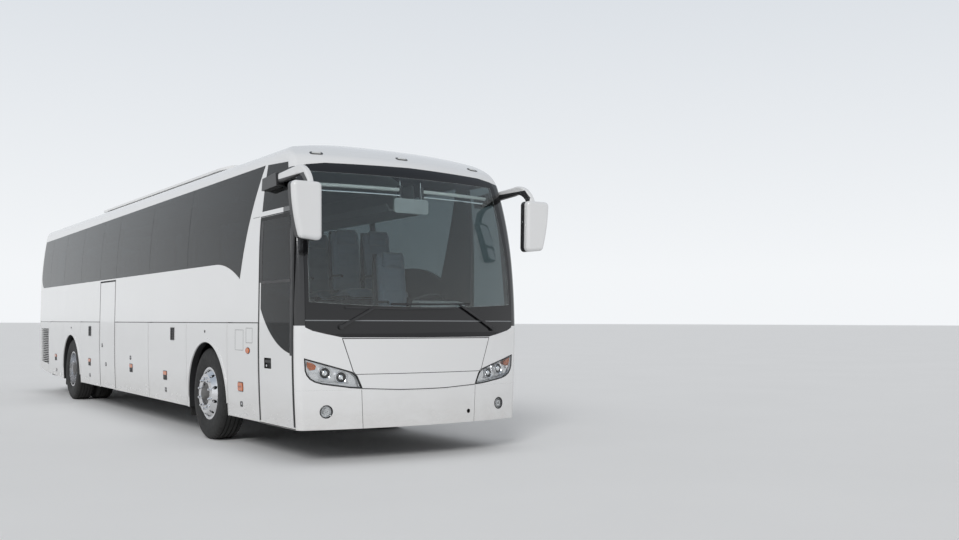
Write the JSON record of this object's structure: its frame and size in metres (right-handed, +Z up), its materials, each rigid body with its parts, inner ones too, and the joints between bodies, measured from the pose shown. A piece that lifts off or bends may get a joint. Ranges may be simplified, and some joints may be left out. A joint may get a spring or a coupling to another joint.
{
  "type": "coach bus",
  "caption": "White two-axle touring coach with tinted side glass, luggage doors, swing-out front door and arm mirrors.",
  "frame": {"origin": "On the ground under the middle of the whole coach, mirrors included.", "axes": "+Z is up, the coach faces -Y and +X is the driver's side, its left."},
  "size_m": [2.9216, 12.49, 3.2679],
  "materials": {
    "body_white": "gloss",
    "steel_black": "satin",
    "floor_grey": "matte",
    "side_tint": "clear",
    "screen_glass": "clear",
    "iron": "rough",
    "tank_plastic": "matte",
    "lamp_clear": "clear",
    "lamp_red": "gloss",
    "black_plastic": "satin",
    "dash_grey": "matte",
    "seat_cloth": "woven",
    "rim_alloy": "polished",
    "tyre_rubber": "matte"
  },
  "bodies": {
    "root": {"chassis_frame": "steel_black", "cross_members": "steel_black", "cabin_floor": "floor_grey", "stairwells": "floor_grey", "cab_platform": "floor_grey", "wheel_boxes": "steel_black", "luggage_bay": "floor_grey", "left_wall": "body_white", "right_wall": "body_white", "roof": "body_white", "roof_unit": "body_white", "front_shell": "body_white", "front_bumper": "body_white", "windscreen": "screen_glass", "side_glass": "side_tint", "rear_shell": "body_white", "rear_window": "side_tint", "rear_bumper": "body_white", "engine_block": "iron", "fuel_tank": "tank_plastic", "front_axle": "steel_black", "rear_axle": "steel_black", "front_lamps": "lamp_clear", "tail_lamps": "lamp_red", "mirrors": "black_plastic", "wipers": "black_plastic", "dashboard": "dash_grey", "driver_seat": "seat_cloth", "passenger_seats": "seat_cloth", "luggage_racks": "floor_grey", "radiator_grille": "black_plastic"},
    "left_steer": {"left_knuckle": "steel_black"},
    "right_steer": {"right_knuckle": "steel_black"},
    "front_left_wheel": {"front_left_rim": "rim_alloy", "front_left_tyre": "tyre_rubber"},
    "front_right_wheel": {"front_right_rim": "rim_alloy", "front_right_tyre": "tyre_rubber"},
    "rear_left_wheel": {"rear_left_rims": "rim_alloy", "rear_left_tyres": "tyre_rubber"},
    "rear_right_wheel": {"rear_right_rims": "rim_alloy", "rear_right_tyres": "tyre_rubber"},
    "steering_column": {"steering_wheel": "black_plastic"},
    "door_arm": {"front_door_arm": "steel_black"},
    "passenger_door": {"front_door": "body_white", "front_door_glass": "side_tint"},
    "middle_door": {"mid_door": "body_white"},
    "service_flap": {"front_flap": "body_white"},
    "engine_cover": {"engine_door": "body_white"},
    "right_service_flap_body": {"right_service_flap": "body_white"},
    "right_luggage_flap_front_body": {"right_luggage_flap_front": "body_white"},
    "right_luggage_flap_rear_body": {"right_luggage_flap_rear": "body_white"},
    "right_battery_flap_body": {"right_battery_flap": "body_white"},
    "right_engine_flap_body": {"right_engine_flap": "body_white"},
    "left_luggage_flap_front_body": {"left_luggage_flap_front": "body_white"},
    "left_luggage_flap_middle_body": {"left_luggage_flap_middle": "body_white"},
    "left_luggage_flap_rear_body": {"left_luggage_flap_rear": "body_white"}
  },
  "joints": [
    {"name": "left_steer", "type": "hinge", "parent": "root", "child": "left_steer", "pos_m": [0.915, -3.42, 0.515], "axis": [0, 0, 1], "range_deg": [-38, 38]},
    {"name": "right_steer", "type": "hinge", "parent": "root", "child": "right_steer", "pos_m": [-0.915, -3.42, 0.515], "axis": [0, 0, 1], "range_deg": [-38, 38]},
    {"name": "front_left_spin", "type": "hinge", "parent": "left_steer", "child": "front_left_wheel", "pos_m": [1.095, -3.42, 0.515], "axis": [1, 0, 0], "continuous": true},
    {"name": "front_right_spin", "type": "hinge", "parent": "right_steer", "child": "front_right_wheel", "pos_m": [-1.095, -3.42, 0.515], "axis": [1, 0, 0], "continuous": true},
    {"name": "rear_left_spin", "type": "hinge", "parent": "root", "child": "rear_left_wheel", "pos_m": [0.93, 3.45, 0.515], "axis": [1, 0, 0], "continuous": true},
    {"name": "rear_right_spin", "type": "hinge", "parent": "root", "child": "rear_right_wheel", "pos_m": [-0.93, 3.45, 0.515], "axis": [1, 0, 0], "continuous": true},
    {"name": "steering_wheel_turn", "type": "hinge", "parent": "root", "child": "steering_column", "pos_m": [0.6, -5.13, 1.52], "axis": [0, 0.5, 0.866], "range_deg": [-684, 684]},
    {"name": "door_arm_swing", "type": "hinge", "parent": "root", "child": "door_arm", "pos_m": [-1.125, -5.775, 1.2], "axis": [0, 0, 1], "range_deg": [0, 125]},
    {"name": "door_follow", "type": "hinge", "parent": "door_arm", "child": "passenger_door", "pos_m": [-1.14, -5.285, 1.2], "axis": [0, 0, 1], "range_deg": [-125, 0]},
    {"name": "mid_door_hinge", "type": "hinge", "parent": "root", "child": "middle_door", "pos_m": [-1.2765, 0.552, 1.1], "axis": [0, 0, 1], "range_deg": [0, 90]},
    {"name": "front_flap_hinge", "type": "hinge", "parent": "root", "child": "service_flap", "pos_m": [0, -6.094, 0.672], "axis": [1, 0, 0], "range_deg": [0, 75]},
    {"name": "engine_door_hinge", "type": "hinge", "parent": "root", "child": "engine_cover", "pos_m": [0, 6.249, 1.893], "axis": [1, 0, 0], "range_deg": [0, 85]},
    {"name": "right_service_flap_hinge", "type": "hinge", "parent": "root", "child": "right_service_flap_body", "pos_m": [-1.277, -4.55, 1.312], "axis": [0, 1, 0], "range_deg": [0, 95]},
    {"name": "right_luggage_flap_front_hinge", "type": "hinge", "parent": "root", "child": "right_luggage_flap_front_body", "pos_m": [-1.277, -1.95, 1.312], "axis": [0, 1, 0], "range_deg": [0, 95]},
    {"name": "right_luggage_flap_rear_hinge", "type": "hinge", "parent": "root", "child": "right_luggage_flap_rear_body", "pos_m": [-1.277, -0.325, 1.312], "axis": [0, 1, 0], "range_deg": [0, 95]},
    {"name": "right_battery_flap_hinge", "type": "hinge", "parent": "root", "child": "right_battery_flap_body", "pos_m": [-1.277, 2.125, 1.312], "axis": [0, 1, 0], "range_deg": [0, 95]},
    {"name": "right_engine_flap_hinge", "type": "hinge", "parent": "root", "child": "right_engine_flap_body", "pos_m": [-1.277, 4.645, 1.312], "axis": [0, 1, 0], "range_deg": [0, 95]},
    {"name": "left_luggage_flap_front_hinge", "type": "hinge", "parent": "root", "child": "left_luggage_flap_front_body", "pos_m": [1.277, -1.95, 1.312], "axis": [0, -1, 0], "range_deg": [0, 95]},
    {"name": "left_luggage_flap_middle_hinge", "type": "hinge", "parent": "root", "child": "left_luggage_flap_middle_body", "pos_m": [1.277, -0.18, 1.312], "axis": [0, -1, 0], "range_deg": [0, 95]},
    {"name": "left_luggage_flap_rear_hinge", "type": "hinge", "parent": "root", "child": "left_luggage_flap_rear_body", "pos_m": [1.277, 1.78, 1.312], "axis": [0, -1, 0], "range_deg": [0, 95]}
  ],
  "couplings": [
    {"joint": "right_steer", "follows": "left_steer", "ratio": 1},
    {"joint": "steering_wheel_turn", "follows": "left_steer", "ratio": 18},
    {"joint": "door_follow", "follows": "door_arm_swing", "ratio": -1}
  ]
}
